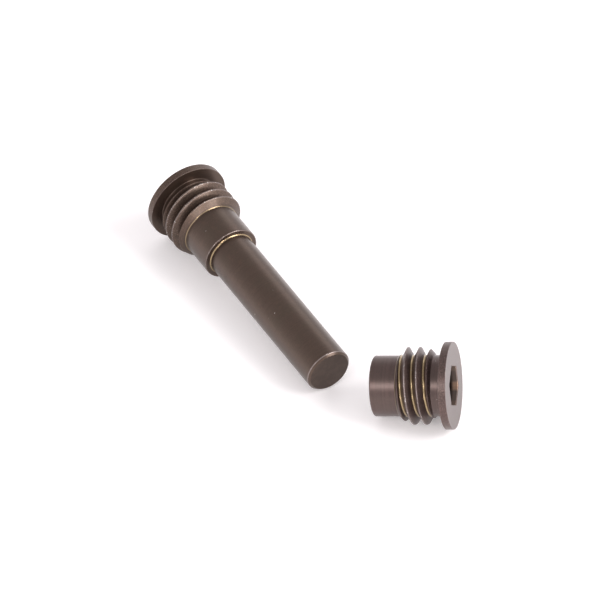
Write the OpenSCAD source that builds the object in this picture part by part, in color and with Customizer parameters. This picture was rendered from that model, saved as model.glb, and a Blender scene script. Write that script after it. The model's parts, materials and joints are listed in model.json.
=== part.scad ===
// Two-piece threaded pivot set, laid out loose on a flat surface.
// A flanged shoulder pin carries a coarse metric thread right under its
// thin flange, then a plain shoulder, then a thinner plain journal.
// A short flanged cap carries the same flange and thread and a plain spigot.
// Each piece is turned from one bar and is driven by a hexagon socket.
// Millimetres, +Z up, the pieces lie on z = 0, and the origin is the middle
// of the underside of the whole set's bounding box.

/* [Thread] */
// Major diameter of both threads
thread_d = 8; // [7.6:0.05:8.4]
// Thread pitch, one start, right hand
pitch = 1.25; // [1:0.05:1.4]
// Diameter of the thread's root cylinder and of the plain neck under the flange
root_d = 6.3; // [6.3:0.05:6.6]
// Width of the flat on the thread's crest
crest_flat = 0.09; // [0.05:0.01:0.15]

/* [Flange] */
// Diameter of both flanges
flange_d = 9; // [8.6:0.1:11]
// Thickness of both flanges
flange_t = 0.8; // [0.6:0.05:1]
// Edge break on the flange rims
edge_break = 0.04; // [0.03:0.01:0.12]

/* [Shoulder pin] */
// Overall length of the shoulder pin, flange included
pin_len = 29.55; // [24:0.05:36]
// Diameter of the long plain journal
journal_d = 5; // [4:0.1:5.6]
// Diameter of the plain shoulder
shoulder_d = 6.2; // [6.1:0.05:6.25]
// Distance from the flange's outer face to the shoulder's end face
shoulder_end = 9.65; // [8:0.05:12]
// Fillet radius where the journal meets the shoulder's end face
journal_fillet = 0.16; // [0.08:0.02:0.2]
// Chamfer on the journal's free end
journal_chamfer = 0.25; // [0.1:0.05:0.5]
// Edge break on the shoulder's end face
shoulder_break = 0.08; // [0.04:0.02:0.16]
// Distance from the outer face at which the thread's lead-in cone ends
pin_thread_end = 5.55; // [5.35:0.05:5.85]
// Distance from the outer face at which the neck's conical wall starts
pin_neck_end = 1.3; // [1.15:0.05:1.4]
// Distance from the outer face to a thread crest, on the side facing +Y
pin_thread_phase = 3.49; // [2.8:0.01:4]

/* [Socket cap] */
// Overall length of the cap, flange included
cap_len = 8.25; // [7.4:0.05:10]
// Diameter of the cap's plain spigot
spigot_d = 6.25; // [6.1:0.05:6.3]
// Distance from the outer face at which the cap's lead-in cone ends
cap_thread_end = 5.55; // [5.35:0.05:5.65]
// Distance from the outer face at which the cap's neck wall starts
cap_neck_end = 1.85; // [1.65:0.05:1.95]
// Distance from the outer face to a thread crest, on one level side
cap_thread_phase = 3; // [2.8:0.01:3.15]
// Chamfer on the spigot's free end
spigot_chamfer = 0.12; // [0.05:0.01:0.2]

/* [Drive sockets] */
// Width across flats of both hexagon sockets
hex_af = 4; // [3:0.5:4.5]
// Depth of the hexagon's flat walls
hex_depth = 2.8; // [2:0.1:3]
// Turn of both hexagons about their axes, in degrees
hex_turn = -18; // [-30:1:30]
// Diameter of the drill point at the bottom of each socket
drill_d = 3.9; // [2.9:0.1:3.9]

/* [Layout] */
// Where the cap's flange touches the surface, along the pin from the pin's flange contact
cap_x = 39.34; // [37:0.1:50]
// Where the cap's flange touches the surface, across the pin
cap_y = 8.54; // [7.5:0.1:20]
// Heading of the cap's axis from flange to spigot, in degrees
cap_heading = 229.3; // [215:1:245]

/* [Hidden] */
fine = 96;
seg = 40;              // steps in each turn of the thread
wall_slope = 1.2;      // rise of the neck's wall, radius over length
pin_lead = 1.75;       // rise of the pin's lead-in cone, radius over length
cap_lead = 1;          // rise of the cap's lead-in cone, radius over length
foot_len = 0.56;       // taper from the thread's root down to the plain part
rc = thread_d / 2;
rr = root_d / 2;
rf = flange_d / 2;
rb = 3.04;             // the ridge's foot, buried in the root cylinder
flank = tan(30);       // half of a 60 degree thread
wc = crest_flat / 2;
wb = wc + (rc - rb) * flank;

// Tilt at which a flange's rim and a second ring both touch the surface
function rest_tilt(z2, r2) = atan((rf - r2) / (z2 - (flange_t - edge_break)));
pin_tilt = rest_tilt(pin_len - journal_chamfer, journal_d / 2);
// the cap's second contact is its last full crest, on the underside
cap_crest_z = cap_thread_phase + pitch * 0.75;
cap_tilt = rest_tilt(cap_crest_z, rc);

// Axis, up vector and flange face centre of a piece that lies tilted
function ax(h, t) = [cos(h) * cos(t), sin(h) * cos(t), -sin(t)];
function up(h, t) = [cos(h) * sin(t), sin(h) * sin(t), cos(t)];
function face_centre(x, y, h, t) =
    [x, y, 0] + up(h, t) * rf - ax(h, t) * (flange_t - edge_break);
pin_c = face_centre(0, 0, 0, pin_tilt);
cap_c = face_centre(cap_x, cap_y, cap_heading, cap_tilt);

// Reach of a ring of radius r, z along a piece, in row direction i
function reach(c, a, z, r, i, s) = (c + a * z)[i] + s * r * sqrt(1 - a[i] * a[i]);
rings = [
    for (k = [[edge_break, rf], [flange_t - edge_break, rf], [0, rf - edge_break]])
        [pin_c, ax(0, pin_tilt), k[0], k[1]],
    [pin_c, ax(0, pin_tilt), pin_len - journal_chamfer, journal_d / 2],
    for (k = [[edge_break, rf], [flange_t - edge_break, rf], [0, rf - edge_break],
              [cap_len - spigot_chamfer, spigot_d / 2]])
        [cap_c, ax(cap_heading, cap_tilt), k[0], k[1]]];
function lo(i) = min([for (q = rings) reach(q[0], q[1], q[2], q[3], i, -1)]);
function hi(i) = max([for (q = rings) reach(q[0], q[1], q[2], q[3], i, 1)]);
shift = [-(lo(0) + hi(0)) / 2, -(lo(1) + hi(1)) / 2, 0];

// Lays a piece, modelled along +Z from its flange's outer face, on z = 0
module lay(c, h, t) {
    translate(shift + c) rotate([0, 90 + t, h]) rotate([0, 0, 90]) children();
}

// Section of the ridge whose crest is centred at height zc, cut back to the
// neck's wall on one side and to the lead-in cone on the other
function cut_neck(zc, zn) = let (
        f = 1 / flank,
        zx = (rc - rr + f * (zc + wc) + wall_slope * zn) / (f + wall_slope),
        rx = rr + (zx - zn) * wall_slope,
        z0 = max(zc - wb, zn + (rb - rr) / wall_slope))
    rx >= rc
        ? [[rb, z0], [rc, min(zc + wc - 0.03, max(zc - wc, zn + (rc - rr) / wall_slope))], [rc, zc + wc], [rb, zc + wb]]
        : [[rb, z0], [rx, zx], [rx - 0.05, zx + 0.05 * flank], [rb, zc + wb]];
function cut_lead(zc, ze, ls) = let (
        f = 1 / flank,
        zx = (f * (zc - wc) - rc + rr + ls * ze) / (f + ls),
        rx = rr + (ze - zx) * ls,
        z3 = min(zc + wb, ze - (rb - rr) / ls))
    rx >= rc
        ? [[rb, zc - wb], [rc, zc - wc], [rc, max(zc - wc + 0.03, min(zc + wc, ze - (rc - rr) / ls))], [rb, z3]]
        : [[rb, zc - wb], [rx - 0.05, zx - 0.05 * flank], [rx, zx], [rb, z3]];
function section(zc, zn, ze, ls) = zc < (zn + ze) / 2 ? cut_neck(zc, zn) : cut_lead(zc, ze, ls);
function top_r(zc, zn, ze, ls) = max([for (q = section(zc, zn, ze, ls)) q[0]]);

// The thread: one helical ridge with a 60 degree profile, its foot buried in
// the root cylinder. phase is the height of a crest on the local +X side,
// zn and ze are where the neck's wall and the lead-in cone meet the root, and
// ls is the cone's rise.
module thread(phase, zn, ze, ls) {
    step = pitch / seg;
    i0 = floor((zn - phase) / step);
    i1 = ceil((ze - phase) / step);
    run = [for (i = [i0:i1]) if (top_r(phase + i * step, zn, ze, ls) > rr + 0.12) i];
    n = len(run);
    first = run[0];
    last = run[n - 1];
    // a section far below the root surface closes each end
    function sunk(i) = let (z = phase + i * step) [[2.7, z - 0.1], [2.85, z - 0.04], [2.85, z + 0.04], [2.7, z + 0.1]];
    pts = [for (i = [first - 1:last + 1]) let (a = 360 * i / seg)
        for (q = i < first ? sunk(i) : i > last ? sunk(i) : section(phase + i * step, zn, ze, ls))
            [q[0] * cos(a), q[0] * sin(a), q[1]]];
    m = n + 1;
    sides = [for (i = [0:m - 1]) for (j = [0:3])
        let (p = 4 * i + j, q = 4 * i + (j + 1) % 4)
        each [[p, q, p + 4], [q, q + 4, p + 4]]];
    ends = [[0, 3, 2], [0, 2, 1], [4 * m, 4 * m + 1, 4 * m + 2], [4 * m, 4 * m + 2, 4 * m + 3]];
    polyhedron(points = pts, faces = concat(sides, ends), convexity = 10);
}

// Flange with broken edges, its outer face at z = 0
module flange() {
    rotate_extrude($fn = fine)
        polygon([[0, 0], [rf - edge_break, 0], [rf, edge_break],
                 [rf, flange_t - edge_break], [rf - edge_break, flange_t], [0, flange_t]]);
}

// Neck and thread root in one, then the taper down to the plain diameter d
module core(ze, d) {
    translate([0, 0, flange_t - 0.1]) cylinder(d = root_d, h = ze - foot_len - flange_t + 0.1, $fn = fine);
    translate([0, 0, ze - foot_len]) cylinder(d1 = root_d, d2 = d, h = foot_len, $fn = fine);
}

// Hexagon socket cutter, drilled to a blunt cone at the bottom
module socket() {
    r_hex = hex_af / 2 / cos(30);
    translate([0, 0, -1]) rotate([0, 0, hex_turn]) cylinder(r = r_hex, h = hex_depth + 1, $fn = 6);
    // the drill point below the hexagon
    translate([0, 0, hex_depth - 0.01]) cylinder(d1 = drill_d, d2 = 0.1, h = 1, $fn = fine);
}

module pin_body() {
    difference() {
        union() {
            flange();
            core(pin_thread_end, shoulder_d);
            // the shoulder and its edge break
            translate([0, 0, pin_thread_end])
                cylinder(d = shoulder_d, h = shoulder_end - shoulder_break - pin_thread_end, $fn = fine);
            translate([0, 0, shoulder_end - shoulder_break])
                cylinder(d1 = shoulder_d, d2 = shoulder_d - 2 * shoulder_break, h = shoulder_break, $fn = fine);
            thread(pin_thread_phase, pin_neck_end, pin_thread_end, pin_lead);
            // journal and its fillet
            translate([0, 0, shoulder_end - 1])
                cylinder(d = journal_d, h = pin_len - journal_chamfer - shoulder_end + 1, $fn = fine);
            translate([0, 0, pin_len - journal_chamfer])
                cylinder(d1 = journal_d, d2 = journal_d - 2 * journal_chamfer, h = journal_chamfer, $fn = fine);
            translate([0, 0, shoulder_end]) rotate_extrude($fn = fine) difference() {
                translate([journal_d / 2 - 0.1, -0.1]) square([journal_fillet + 0.1, journal_fillet + 0.1]);
                translate([journal_d / 2 + journal_fillet, journal_fillet]) circle(r = journal_fillet, $fn = fine);
            }
        }
        socket();
    }
}

module cap_body() {
    difference() {
        union() {
            flange();
            core(cap_thread_end, spigot_d);
            translate([0, 0, cap_thread_end])
                cylinder(d = spigot_d, h = cap_len - spigot_chamfer - cap_thread_end, $fn = fine);
            translate([0, 0, cap_len - spigot_chamfer])
                cylinder(d1 = spigot_d, d2 = spigot_d - 2 * spigot_chamfer, h = spigot_chamfer, $fn = fine);
            thread(cap_thread_phase, cap_neck_end, cap_thread_end, cap_lead);
        }
        socket();
    }
}

module shoulder_pin() {
    color("#54463f") lay(pin_c, 0, pin_tilt) pin_body();
}

module socket_cap() {
    color("#5c4e47") lay(cap_c, cap_heading, cap_tilt) cap_body();
}

shoulder_pin();
socket_cap();
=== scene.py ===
import json
import math

import bpy
import numpy as np
from mathutils import Matrix, Vector


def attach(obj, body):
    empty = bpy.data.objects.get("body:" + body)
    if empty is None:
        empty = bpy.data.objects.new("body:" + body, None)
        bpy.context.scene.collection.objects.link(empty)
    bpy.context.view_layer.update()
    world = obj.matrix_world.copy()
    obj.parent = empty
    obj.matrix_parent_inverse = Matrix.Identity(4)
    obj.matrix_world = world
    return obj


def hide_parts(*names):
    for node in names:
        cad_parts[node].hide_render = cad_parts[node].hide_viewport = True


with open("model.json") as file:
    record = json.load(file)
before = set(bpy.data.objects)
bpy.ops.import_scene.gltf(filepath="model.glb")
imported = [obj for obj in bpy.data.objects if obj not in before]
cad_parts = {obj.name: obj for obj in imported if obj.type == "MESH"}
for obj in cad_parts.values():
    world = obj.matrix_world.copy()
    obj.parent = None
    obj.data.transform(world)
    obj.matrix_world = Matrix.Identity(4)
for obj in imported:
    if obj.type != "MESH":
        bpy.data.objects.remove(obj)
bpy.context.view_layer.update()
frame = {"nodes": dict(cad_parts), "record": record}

MM = 0.001
scene = bpy.context.scene

# ---------------------------------------------------------------- sizes, in mm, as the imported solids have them
N = 240            # columns round a piece; a multiple of 6, so the hexagon's corners lie on columns
PITCH, RC, RR = 1.25, 4.0, 3.15
FLANGE_R, FLANGE_T, BREAK = 4.5, 0.8, 0.04
WC = 0.045         # half of the crest's flat
S3 = math.sqrt(3)
ARC = RR - RC + S3 * (PITCH / 2 - WC)   # radius of the root's arc, tangent to both flanks
YC = RR + ARC
WT = PITCH / 2 - ARC * math.sin(math.pi / 3)

PIN = dict(length=29.55, end_r=2.5, plain_r=3.1, plain_end=9.65, neck=1.3, thread_end=5.55, lead=1.75, phase=3.49,
           wall=1.2)
CAP = dict(length=8.25, end_r=None, plain_r=3.125, plain_end=8.25, neck=1.85, thread_end=5.55, lead=1.0, phase=3.0,
           wall=1.2)
HEX_AF, HEX_DEPTH, DRILL_R, HEX_TURN = 4.0, 2.8, 1.95, -18


def smin(a, b, k):
    h = np.clip(0.5 + 0.5 * (b - a) / k, 0, 1)
    return b * (1 - h) + a * h - k * h * (1 - h)


def smax(a, b, k):
    return -smin(-a, -b, k)


def thread_r(w):
    """Radius of the plain endless thread at axial distance w from the nearest crest, before its ends are cut."""
    w = np.abs(w)
    flank = RC - (w - WC) * S3
    crest = smin(np.full_like(w, RC - 0.004), flank, 0.035)
    under = np.clip(1 - ((PITCH / 2 - w) / ARC) ** 2, 0, 1)
    root = YC - ARC * np.sqrt(under)
    return np.where(w > WT, root, crest)


def body_r(theta, z, q):
    """Radius of the threaded zone: thread, neck wall, lead-in cone, neck and shoulder."""
    crest = q["phase"] + PITCH * theta / (2 * math.pi)
    w = (z - crest + PITCH / 2) % PITCH - PITCH / 2
    wall = RR + (z - q["neck"]) * q["wall"]
    lead = RR + (q["thread_end"] - z) * q["lead"]
    mid = (q["neck"] + q["thread_end"]) / 2
    low = np.maximum(smin(thread_r(w), smax(wall, np.full_like(z, RR), 0.05), 0.035), RR)
    high = smax(smin(thread_r(w), lead, 0.035), np.full_like(z, q["plain_r"]), 0.03)
    return np.where(z < mid, low, high)


# ---------------------------------------------------------------- mesh building
class Skin:
    """Collects rings and grids of points, then welds them into one closed mesh."""

    def __init__(self):
        self.points, self.faces, self.count = [], [], 0

    def grid(self, p, flip=False):
        """p is rows x columns x 3. Neighbouring rows are joined; columns are joined as they come."""
        rows, cols = p.shape[:2]
        idx = np.arange(rows * cols).reshape(rows, cols) + self.count
        a, b, c, d = idx[:-1, :-1], idx[:-1, 1:], idx[1:, 1:], idx[1:, :-1]
        quads = np.stack([a, b, c, d], -1).reshape(-1, 4)
        self.points.append(p.reshape(-1, 3))
        self.faces.append(quads[:, ::-1] if flip else quads)
        self.count += rows * cols

    def revolve(self, path):
        """path is a list of (r, z), r a number or one value for each column."""
        th = np.linspace(0, 2 * math.pi, N + 1)
        rows = []
        for r, z in path:
            r = np.broadcast_to(np.asarray(r, float), (N + 1,))
            rows.append(np.stack([r * np.cos(th), r * np.sin(th), np.full(N + 1, z)], -1))
        self.grid(np.array(rows))

    def mesh(self, name):
        p = np.concatenate(self.points)
        f = np.concatenate(self.faces)
        key = np.round(p / 2e-5).astype(np.int64)
        _, first, back = np.unique(key, axis=0, return_index=True, return_inverse=True)
        back = back.reshape(-1)
        p, f = p[first], back[f]
        faces = []
        for q in f:
            out = [int(q[i]) for i in range(4) if q[i] != q[i - 1]]
            if len(set(out)) >= 3:
                faces.append(out)
        me = bpy.data.meshes.new(name)
        me.from_pydata((p * MM).tolist(), [], faces)
        me.validate()
        import bmesh
        bm = bmesh.new()
        bm.from_mesh(me)
        loose = [v for v in bm.verts if not v.link_faces]
        if loose:
            bmesh.ops.delete(bm, geom=loose, context="VERTS")
        bmesh.ops.recalc_face_normals(bm, faces=bm.faces)
        bad = sum(1 for e in bm.edges if len(e.link_faces) != 2)
        print("MESH", name, "verts", len(bm.verts), "faces", len(bm.faces), "open edges", bad,
              "volume mm3", round(bm.calc_volume(signed=True) * 1e9, 2))
        bm.to_mesh(me)
        bm.free()
        for poly in me.polygons:
            poly.use_smooth = True
        return me


def rounded(points, seg=6, guard=0.02):
    """A path of (r, z) through points (r, z, radius), with an arc at each corner that has a radius."""
    out = []
    for i, pt in enumerate(points):
        p = np.array(pt[:2], float)
        rad = pt[2] if len(pt) > 2 else 0
        if not rad or i in (0, len(points) - 1):
            out.append(tuple(p))
            continue
        a = np.array(points[i - 1][:2], float) - p
        b = np.array(points[i + 1][:2], float) - p
        la, lb = np.linalg.norm(a), np.linalg.norm(b)
        a, b = a / la, b / lb
        turn = math.pi - math.acos(max(-1, min(1, float(a @ b))))
        t = rad * math.tan(turn / 2)
        mid = (a + b) / np.linalg.norm(a + b)
        c = p + mid * math.hypot(rad, t)
        s, e = p + a * t, p + b * t
        if la > t + 2 * guard:
            out.append(tuple(p + a * (t + guard)))
        v0, v1 = s - c, e - c
        ang = math.atan2(v0[0] * v1[1] - v0[1] * v1[0], float(v0 @ v1))
        for k in range(seg + 1):
            x = ang * k / seg
            out.append((c[0] + v0[0] * math.cos(x) - v0[1] * math.sin(x),
                        c[1] + v0[0] * math.sin(x) + v0[1] * math.cos(x)))
        if lb > t + 2 * guard:
            out.append(tuple(p + b * (t + guard)))
    return out


def between(path, step):
    """Adds points along long straight stretches, so that no face is much longer than step."""
    out = [path[0]]
    for a, b in zip(path[:-1], path[1:]):
        d = math.hypot(b[0] - a[0], b[1] - a[1])
        n = max(1, int(math.ceil(d / step)))
        for k in range(1, n + 1):
            out.append((a[0] + (b[0] - a[0]) * k / n, a[1] + (b[1] - a[1]) * k / n))
    return out


def hexagon(inset):
    """Radius of the hexagon's wall at each column, with flats moved out by inset and slightly eased corners."""
    th = np.linspace(0, 2 * math.pi, N + 1)
    t = ((th - math.radians(HEX_TURN)) % (math.pi / 3)) - math.pi / 6
    flat = HEX_AF / 2 + inset
    r = flat / np.cos(t)
    return smin(r, np.full_like(r, flat / math.cos(math.pi / 6) - 0.02), 0.03)


def build(name, q):
    s = Skin()
    # hexagon socket: drill point, ledge, walls and broken mouth, then the flange's outer face
    hex_in = hexagon(0)
    th0 = [(0.0, HEX_DEPTH + 1.0), (0.05, HEX_DEPTH + 0.985), (0.6, HEX_DEPTH + 0.70), (1.2, HEX_DEPTH + 0.385),
           (DRILL_R - 0.04, HEX_DEPTH + 0.01), (DRILL_R, HEX_DEPTH)]
    path = [(np.full(N + 1, r), z) for r, z in th0]
    path += [(hex_in - 0.02, HEX_DEPTH), (hex_in, HEX_DEPTH - 0.02)]
    path += [(hex_in, z) for z in (2.7, 2.3, 1.9, 1.5, 1.1, 0.8, 0.5, 0.3, 0.15, 0.08)]
    path += [(hex_in, 0.09), (hexagon(0.005), 0.07), (hexagon(0.02), 0.045), (hexagon(0.045), 0.02), (hexagon(0.07), 0.005),
             (hexagon(0.08), 0.0)]
    for k in (0.02, 0.25, 0.5, 0.75):
        path.append((hexagon(0.08) * (1 - k) + 4.2 * k, 0.0))
    flange = rounded([(4.2, 0.0), (FLANGE_R, 0.0, BREAK), (FLANGE_R, FLANGE_T, BREAK), (RR, FLANGE_T, 0.10),
                      (RR, q["neck"] - 0.12)])
    flange = between(flange, 0.3)
    path += flange
    s.revolve(path)
    z_a, z_b = q["neck"] - 0.12, q["thread_end"] + 0.16
    # threaded zone: rows follow the helix, and each row stops at the zone's two ends
    half = [0, 0.018, 0.03, 0.04, 0.05, 0.062, 0.08, 0.12, 0.17, 0.22, 0.27, 0.32, 0.37, 0.41, WT]
    arc = [PITCH / 2 - ARC * math.sin(x) for x in np.linspace(math.pi / 3, 0, 8)[1:]]
    half = np.array(half + arc)
    w = np.concatenate([-half[::-1], half[1:]])
    first = math.floor((z_a - q["phase"]) / PITCH) - 1
    last = math.ceil((z_b - q["phase"]) / PITCH) + 1
    # a column for every step of the helix, from the first crest to the last
    i = np.arange((first - 1) * N, (last + 1) * N + 1)
    theta = 2 * math.pi * (i % N) / N
    zc = q["phase"] + PITCH * i / N
    z = np.clip(zc[None, :] + w[:, None], z_a, z_b)
    r = body_r(np.broadcast_to(theta[None, :], z.shape), z, q)
    s.grid(np.stack([r * np.cos(theta), r * np.sin(theta), z], -1), flip=True)
    # plain part, journal and free end
    tail = [(q["plain_r"], z_b)]
    if q["end_r"]:
        tail += [(q["plain_r"], q["plain_end"], 0.10), (q["end_r"], q["plain_end"], 0.17),
                 (q["end_r"], q["length"] - 0.25, 0.05), (q["end_r"] - 0.25, q["length"], 0.05)]
    else:
        tail += [(q["plain_r"], q["length"] - 0.12, 0.05), (q["plain_r"] - 0.12, q["length"], 0.05)]
    tail += [(0.0, q["length"])]
    tail = between(rounded(tail), 0.6)
    s.revolve([(r_, z_) for r_, z_ in tail])
    return s.mesh(name)


def lay(me, name, mount, body, node):
    """Puts a piece where the record's drive mount says: flange face centre, and the axis into the piece."""
    m = next(x for x in frame["record"]["mounts"] if x["name"] == mount)
    a = -Vector(m["axis"]).normalized()
    h = math.atan2(a.y, a.x)
    t = math.asin(-a.z)
    x = Vector((-math.sin(h), math.cos(h), 0))
    y = Vector((math.sin(t) * math.cos(h), math.sin(t) * math.sin(h), math.cos(t)))
    place = Matrix((x, y, a)).transposed().to_4x4()
    place.translation = Vector(m["pos_m"])
    o = bpy.data.objects.new(name, me)
    scene.collection.objects.link(o)
    o.matrix_world = place
    bpy.context.view_layer.update()
    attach(o, body)
    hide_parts(node)
    return o


pin = lay(build("pin_skin", PIN), "shoulder_pin_turned", "pin_drive", "shoulder_pin", "shoulder_pin")
cap = lay(build("cap_skin", CAP), "socket_cap_turned", "cap_drive", "socket_cap", "socket_cap")


# ---------------------------------------------------------------- material
class Tree:
    def __init__(self, name):
        self.mat = bpy.data.materials.new(name)
        self.mat.use_nodes = True
        self.nt = self.mat.node_tree
        self.nt.nodes.clear()

    def node(self, kind, **sets):
        n = self.nt.nodes.new(kind)
        for k, v in sets.items():
            setattr(n, k, v)
        return n

    def link(self, a, b):
        self.nt.links.new(a, b)

    def put(self, socket, v):
        if isinstance(v, bpy.types.NodeSocket):
            self.link(v, socket)
        elif isinstance(v, (tuple, list)):
            socket.default_value = (*v, 1.0)[: len(socket.default_value)]
        else:
            socket.default_value = v

    def math(self, op, a, b=0.0, c=0.0, clamp=False):
        n = self.node("ShaderNodeMath", operation=op, use_clamp=clamp)
        for s, v in zip(n.inputs, (a, b, c)):
            self.put(s, v)
        return n.outputs[0]

    def ramp(self, fac, lo, hi, a=0.0, b=1.0):
        n = self.node("ShaderNodeMapRange", interpolation_type="SMOOTHSTEP")
        for k, v in (("Value", fac), ("From Min", lo), ("From Max", hi), ("To Min", a), ("To Max", b)):
            self.put(n.inputs[k], v)
        return n.outputs["Result"]

    def mix(self, fac, a, b):
        n = self.node("ShaderNodeMix", data_type="RGBA")
        self.put(n.inputs[0], fac)
        self.put(n.inputs[6], a)
        self.put(n.inputs[7], b)
        return n.outputs[2]

    def noise(self, vec, scale, detail=2.0, rough=0.5):
        n = self.node("ShaderNodeTexNoise")
        self.link(vec, n.inputs["Vector"])
        n.inputs["Scale"].default_value = scale
        n.inputs["Detail"].default_value = detail
        n.inputs["Roughness"].default_value = rough
        return n.outputs["Fac"]

    def vec(self, x, y, z):
        n = self.node("ShaderNodeCombineXYZ")
        for s, v in zip(n.inputs, (x, y, z)):
            self.put(s, v)
        return n.outputs[0]


def steel(name, base, q, seed, gold_glint_strength, rub, turned):
    """Dark bronze-brown finish on turned steel: turning marks round the axis, fine speckle, worn crests and rims."""
    t = Tree(name)
    tc = t.node("ShaderNodeTexCoord")
    sep = t.node("ShaderNodeSeparateXYZ")
    t.link(tc.outputs["Object"], sep.inputs[0])
    x, y, z = (t.math("MULTIPLY", o, 1000.0) for o in sep.outputs[:3])   # millimetres, z along the axis
    r = t.math("SQRT", t.math("ADD", t.math("MULTIPLY", x, x), t.math("MULTIPLY", y, y)))
    p = t.vec(x, y, t.math("ADD", z, seed))

    def both(*fs):
        out = fs[0]
        for f in fs[1:]:
            out = t.math("MULTIPLY", out, f)
        return out

    # turning marks: rings that depend on z and r alone, with a slow change along the way round
    rings = t.vec(t.math("ADD", z, t.math("MULTIPLY", r, 1.7)), seed, 0.0)
    marks = t.noise(rings, 6.0, 3.0, 0.6)
    fine = t.noise(rings, 24.0, 2.0, 0.6)
    cloud = t.noise(p, 0.45, 3.0, 0.55)
    blotch = t.noise(p, 1.6, 3.0, 0.6)
    speck = t.noise(p, 8.0, 3.0, 0.75)
    grit = t.noise(p, 34.0, 2.0, 0.6)
    # the thread, the flange's rim and their edges are duller and more speckled than the plain turned parts
    in_thread = both(t.ramp(r, 3.16, 3.3), t.ramp(r, 4.2, 4.1), t.ramp(z, 0.95, 1.1))
    rim = t.ramp(r, 4.44, 4.49)
    matte = t.math("MAXIMUM", in_thread, rim)
    crest = both(t.ramp(r, 3.88, 3.99), t.ramp(z, 1.3, 1.6), t.ramp(r, 4.2, 4.1))
    half = t.math("ABSOLUTE", t.math("SUBTRACT", z, FLANGE_T / 2))
    rim_edge = t.math("MULTIPLY", t.ramp(r, 4.40, 4.46), t.ramp(half, 0.30, 0.385))
    chips = t.ramp(t.noise(p, 2.6, 4.0, 0.75), 0.56, 0.66)
    tiny = t.ramp(t.noise(p, 6.0, 3.0, 0.8), 0.70 - 0.27 * rub, 0.735 - 0.27 * rub)
    # painted shade darkens the thread's roots, and a golden painted reflection lies in the roots, at the thread's foot
    # and at the foot of the journal
    painted_gold_glint = both(t.ramp(r, 3.235, 3.16), t.ramp(r, 3.128, 3.145), t.ramp(z, q["neck"] + 0.1, q["neck"] + 0.35),
                  t.ramp(z, q["thread_end"] + 0.03, q["thread_end"] - 0.05))
    # mask for the painted shade in the thread's roots
    root = both(t.ramp(r, 3.42, 3.20), t.ramp(r, 3.128, 3.145), t.ramp(z, q["neck"] + 0.1, q["neck"] + 0.3),
                t.ramp(z, q["thread_end"] + 0.03, q["thread_end"] - 0.05))
    painted_gold_glint = t.math("MULTIPLY", painted_gold_glint, gold_glint_strength)
    # the socket: flats painted lighter near the mouth and painted shade darker deeper down, with a painted highlight
    # near its corners, strongest at one corner
    inside = t.math("MULTIPLY", t.ramp(r, 2.5, 2.45), both(t.ramp(z, 0.03, 0.06), t.ramp(z, 4.2, 4.1)))
    # the one corner that is seen to be bright; bare metal or reflected light can't be told apart
    far = math.radians(HEX_TURN + 240)      # the one corner, seen from the camera, with the strongest painted highlight
    toward = t.math("ADD", t.math("MULTIPLY", x, math.cos(far)), t.math("MULTIPLY", y, math.sin(far)))
    painted_corner_highlight = both(t.ramp(r, 2.05, 2.17), t.ramp(z, 0.75, 0.45), t.math("ADD", 0.2, t.math("MULTIPLY", t.ramp(toward, 1.3, 1.9), 0.7)))
    painted_depth_shade = t.ramp(z, 0.35, 0.85)
    # edges of the turned steps, rubbed lighter with small chips; the free end's chamfer edge is also a painted
    # highlight
    step_r = 3.1 if q["end_r"] else q["plain_r"]
    step_z = q["plain_end"] if q["end_r"] else q["length"]
    step_wear_and_highlight = both(t.ramp(r, step_r - 0.11, step_r - 0.06), t.ramp(t.math("ABSOLUTE", t.math("SUBTRACT", z, step_z)), 0.10, 0.05))
    if q["end_r"]:
        # wear and painted highlight: the free end's chamfer edge, made lighter at 1.7 times
        free = both(t.ramp(t.math("ABSOLUTE", t.math("SUBTRACT", z, q["length"] - 0.25)), 0.07, 0.03), t.ramp(r, 2.42, 2.46))
        step_wear_and_highlight = t.math("MAXIMUM", step_wear_and_highlight, t.math("MULTIPLY", free, 1.7))
    wear_and_highlight = t.math("MULTIPLY", crest, t.math("ADD", rub, t.math("MULTIPLY", chips, 0.5)))
    bright = both(crest, tiny)
    wear_and_highlight = t.math("MAXIMUM", wear_and_highlight, both(rim_edge, t.math("ADD", 0.10, t.math("MULTIPLY", chips, 0.40))))
    wear_and_highlight = t.math("MAXIMUM", wear_and_highlight, both(step_wear_and_highlight, t.math("ADD", 0.32, t.math("MULTIPLY", chips, 0.65))))
    if q["end_r"]:
        # painted reflection: a golden line at the thread's foot and a golden ring at the journal's foot
        thread_foot_glint = both(t.ramp(z, q["thread_end"] - 0.035, q["thread_end"] - 0.01), t.ramp(z, q["thread_end"] + 0.05, q["thread_end"] + 0.02))
        journal_foot_glint = both(t.ramp(r, 2.64, 2.57), t.ramp(z, q["plain_end"] - 0.02, q["plain_end"]),
                    t.ramp(z, q["plain_end"] + 0.13, q["plain_end"] + 0.07))
        painted_gold_glint = t.math("MAXIMUM", painted_gold_glint, t.math("MAXIMUM", t.math("MULTIPLY", journal_foot_glint, 0.8), t.math("MULTIPLY", thread_foot_glint, 0.5)))
    dark = tuple(c * (1 - 0.14 * turned) for c in base)
    light = tuple(c * (1 + 0.14 * turned) for c in base)
    col = t.mix(t.ramp(marks, 0.3, 0.7), dark, light)
    col = t.mix(t.math("MULTIPLY", t.ramp(cloud, 0.38, 0.68), 0.45), col, (base[0] * 0.92, base[1] * 1.02, base[2] * 0.98))
    col = t.mix(t.math("MULTIPLY", t.ramp(blotch, 0.52, 0.72), 0.35), col, (base[0] * 1.30, base[1] * 1.22, base[2] * 1.16))
    lead = t.ramp(z, q["thread_end"] - 0.15, q["thread_end"] - 0.75, 0.35, 1.0)   # the thread's last flank is smoother
    dull = t.math("ADD", 0.07, both(matte, lead, 0.52))
    col = t.mix(t.math("MULTIPLY", t.ramp(speck, 0.52, 0.66), dull), col, tuple(c * 2.7 for c in base))
    col = t.mix(t.math("MULTIPLY", t.ramp(speck, 0.48, 0.35), dull), col, tuple(c * 0.42 for c in base))
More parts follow.
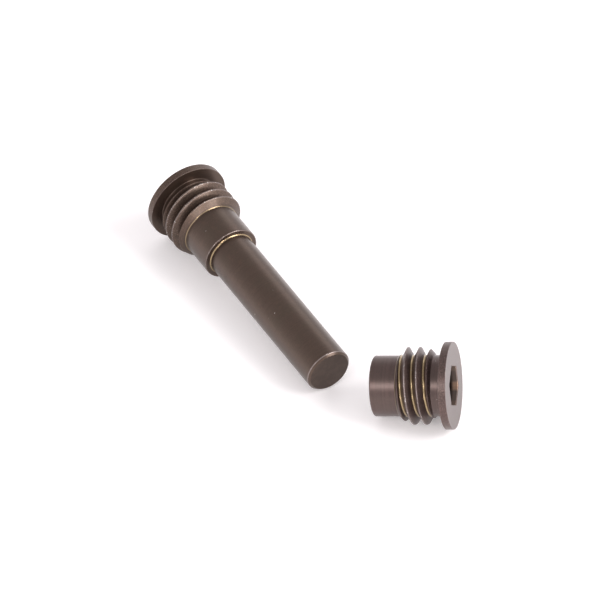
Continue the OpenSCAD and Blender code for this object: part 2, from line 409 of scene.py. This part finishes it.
    # painted light and shade in the socket: lighter near the mouth, painted shade deeper down, painted highlight near
    # the corners
    flat = t.mix(painted_depth_shade, (0.27, 0.215, 0.19), (0.05, 0.035, 0.028))
    flat = t.mix(painted_corner_highlight, flat, (0.70, 0.48, 0.35))
    col = t.mix(inside, col, flat)
    # painted shade: the thread's roots darkened
    col = t.mix(t.math("MULTIPLY", root, 0.45), col, tuple(c * 0.45 for c in base))
    # the golden painted reflection in the roots and at the feet
    col = t.mix(t.math("MULTIPLY", painted_gold_glint, 0.80), col, (0.49, 0.37, 0.205))
    # painted shade: the pin's free end face darkened and mottled
    if q["end_r"]:
        col = t.mix(t.ramp(z, q["length"] - 0.03, q["length"] - 0.005), col, t.mix(t.ramp(blotch, 0.42, 0.62), tuple(c * 0.70 for c in base), tuple(c * 0.82 for c in base)))
    # rubbed lighter colour on crests and edges, and the painted highlight on the free end's chamfer
    col = t.mix(t.math("MINIMUM", wear_and_highlight, 1.0), col, (0.32, 0.27, 0.26))
    col = t.mix(bright, col, (0.95, 0.92, 0.88))
    # a few bare pin-prick chips anywhere on the piece
    prick = t.ramp(t.noise(p, 3.4, 1.0, 0.3), 0.815, 0.835)
    col = t.mix(prick, col, (0.50, 0.46, 0.42))
    rough = t.math("ADD", 0.275 - 0.025 * turned, t.math("MULTIPLY", marks, 0.10 * turned))
    rough = t.math("ADD", rough, t.math("MULTIPLY", speck, 0.08))
    rough = t.math("ADD", rough, t.math("MULTIPLY", matte, 0.08))
    rough = t.math("SUBTRACT", rough, t.math("MULTIPLY", painted_gold_glint, 0.08))
    height = t.math("ADD", t.math("MULTIPLY", marks, 0.45 * turned), t.math("MULTIPLY", fine, 0.22 * turned))
    height = t.math("ADD", height, t.math("MULTIPLY", grit, t.math("ADD", 0.12, t.math("MULTIPLY", matte, 0.75))))
    bump = t.node("ShaderNodeBump")
    bump.inputs["Strength"].default_value = 0.30
    bump.inputs["Distance"].default_value = 0.000012
    t.link(height, bump.inputs["Height"])
    b = t.node("ShaderNodeBsdfPrincipled")
    t.link(t.math("ADD", 0.78, t.math("MULTIPLY", painted_gold_glint, 0.20)), b.inputs["Metallic"])
    t.link(col, b.inputs["Base Color"])
    t.link(rough, b.inputs["Roughness"])
    t.link(bump.outputs[0], b.inputs["Normal"])
    b.inputs["Coat Weight"].default_value = 0.24
    b.inputs["Coat Roughness"].default_value = 0.30
    b.inputs["Coat IOR"].default_value = 1.5
    out = t.node("ShaderNodeOutputMaterial")
    t.link(b.outputs[0], out.inputs[0])
    return t.mat


pin.data.materials.append(steel("pin_bronzed_steel", (0.084, 0.055, 0.0415), PIN, 3.7, 0.10, 0.26, 0.45))
cap.data.materials.append(steel("cap_bronzed_steel", (0.092, 0.061, 0.055), CAP, 21.3, 0.9, 0.32, 1.0))
for name in ("shoulder_pin", "socket_cap"):
    node = frame["nodes"][name]
    node.data.materials.clear()
    node.data.materials.append((pin if name == "shoulder_pin" else cap).data.materials[0])

# ---------------------------------------------------------------- floor, light, camera
floor_me = bpy.data.meshes.new("floor")
F = 1.5
floor_me.from_pydata([(-F, -F, 0), (F, -F, 0), (F, F, 0), (-F, F, 0)], [], [(0, 1, 2, 3)])
floor = bpy.data.objects.new("floor", floor_me)
scene.collection.objects.link(floor)
floor.location.z = -0.00002
ft = Tree("floor_white")
fb = ft.node("ShaderNodeBsdfPrincipled")
fb.inputs["Base Color"].default_value = (0.90, 0.885, 0.888, 1)
fb.inputs["Roughness"].default_value = 0.75
fb.inputs["Emission Color"].default_value = (1.0, 0.965, 0.975, 1)     # lifts the shadows to the photo's level
fb.inputs["Emission Strength"].default_value = 0.22
fo = ft.node("ShaderNodeOutputMaterial")
ft.link(fb.outputs[0], fo.inputs[0])
floor_me.materials.append(ft.mat)

# the point on the surface at the middle of the view, from where the pin's flange rim touches the surface
drive = next(x for x in frame["record"]["mounts"] if x["name"] == "pin_drive")
pin_axis = -Vector(drive["axis"]).normalized()
pin_up = Vector((0, 0, 1)) - pin_axis * pin_axis.z
touch = Vector(drive["pos_m"]) - pin_up.normalized() * FLANGE_R * MM + pin_axis * (FLANGE_T - BREAK) * MM
T = touch + Vector((15.456, 4.651, 0.0)) * MM
T.z = 0.0
AZ, EL, DIST = math.radians(58.871), math.radians(41.3), 0.630
back = Vector((math.sin(AZ) * math.cos(EL), -math.cos(AZ) * math.cos(EL), math.sin(EL)))
right = Vector((math.cos(AZ), math.sin(AZ), 0))
up = right.cross(-back).normalized() * 1.0
away = Vector((-math.sin(AZ), math.cos(AZ), 0))     # along the table, away from the camera

cam_data = bpy.data.cameras.new("camera")
cam_data.sensor_width = 36
cam_data.lens = 360
cam_data.clip_start, cam_data.clip_end = 0.01, 20
cam = bpy.data.objects.new("camera", cam_data)
scene.collection.objects.link(cam)
cam.location = T + back * DIST
cam.rotation_mode = "QUATERNION"
cam.rotation_quaternion = (-back).to_track_quat("-Z", "Y")
scene.camera = cam


def soft(name, direction, distance, size_x, size_y, radiance, colour=(1, 1, 1)):
    """A rectangular soft light, aimed at the middle of the view. direction is (right, away, up) as the camera sees it."""
    d = bpy.data.lights.new(name, "AREA")
    d.shape = "RECTANGLE"
    d.size, d.size_y = size_x, size_y
    d.energy = radiance * math.pi * size_x * size_y
    d.color = colour
    o = bpy.data.objects.new(name, d)
    scene.collection.objects.link(o)
    u = (right * direction[0] + away * direction[1] + Vector((0, 0, direction[2]))).normalized()
    o.location = T + u * distance
    o.rotation_mode = "QUATERNION"
    o.rotation_quaternion = (-u).to_track_quat("-Z", "Y")
    return o


soft("key_right", (0.71, -0.25, 0.62), 0.9, 0.46, 0.42, 8.4, (1.0, 0.985, 0.985))
soft("left_front", (-0.44, -0.68, 0.59), 0.85, 0.34, 0.24, 6.2, (1.0, 0.98, 0.975))
soft("low_right", (0.82, -0.52, 0.20), 0.9, 0.34, 0.26, 11.0, (1.0, 0.965, 0.94))
soft("small_front", (0.47, -0.88, 0.07), 0.9, 0.12, 0.09, 46.0, (1.0, 0.92, 0.88))
soft("back_soft", (0.22, 0.80, 0.50), 0.9, 0.60, 0.30, 1.0, (1.0, 0.98, 0.99))

# studio surround: bright at the horizon, dimmer overhead
world = bpy.data.worlds.new("studio")
world.use_nodes = True
wt = world.node_tree
bg = wt.nodes["Background"]
geo = wt.nodes.new("ShaderNodeTexCoord")
sep_w = wt.nodes.new("ShaderNodeSeparateXYZ")
wt.links.new(geo.outputs["Generated"], sep_w.inputs[0])
ramp_w = wt.nodes.new("ShaderNodeMapRange")
wt.links.new(sep_w.outputs[2], ramp_w.inputs["Value"])
for k, v in (("From Min", 0.0), ("From Max", 0.75), ("To Min", 1.10), ("To Max", 0.66)):
    ramp_w.inputs[k].default_value = v
wt.links.new(ramp_w.outputs["Result"], bg.inputs[1])
bg.inputs[0].default_value = (1.0, 0.965, 0.985, 1)
scene.world = world
scene.view_settings.view_transform = "Standard"
scene.view_settings.look = "None"
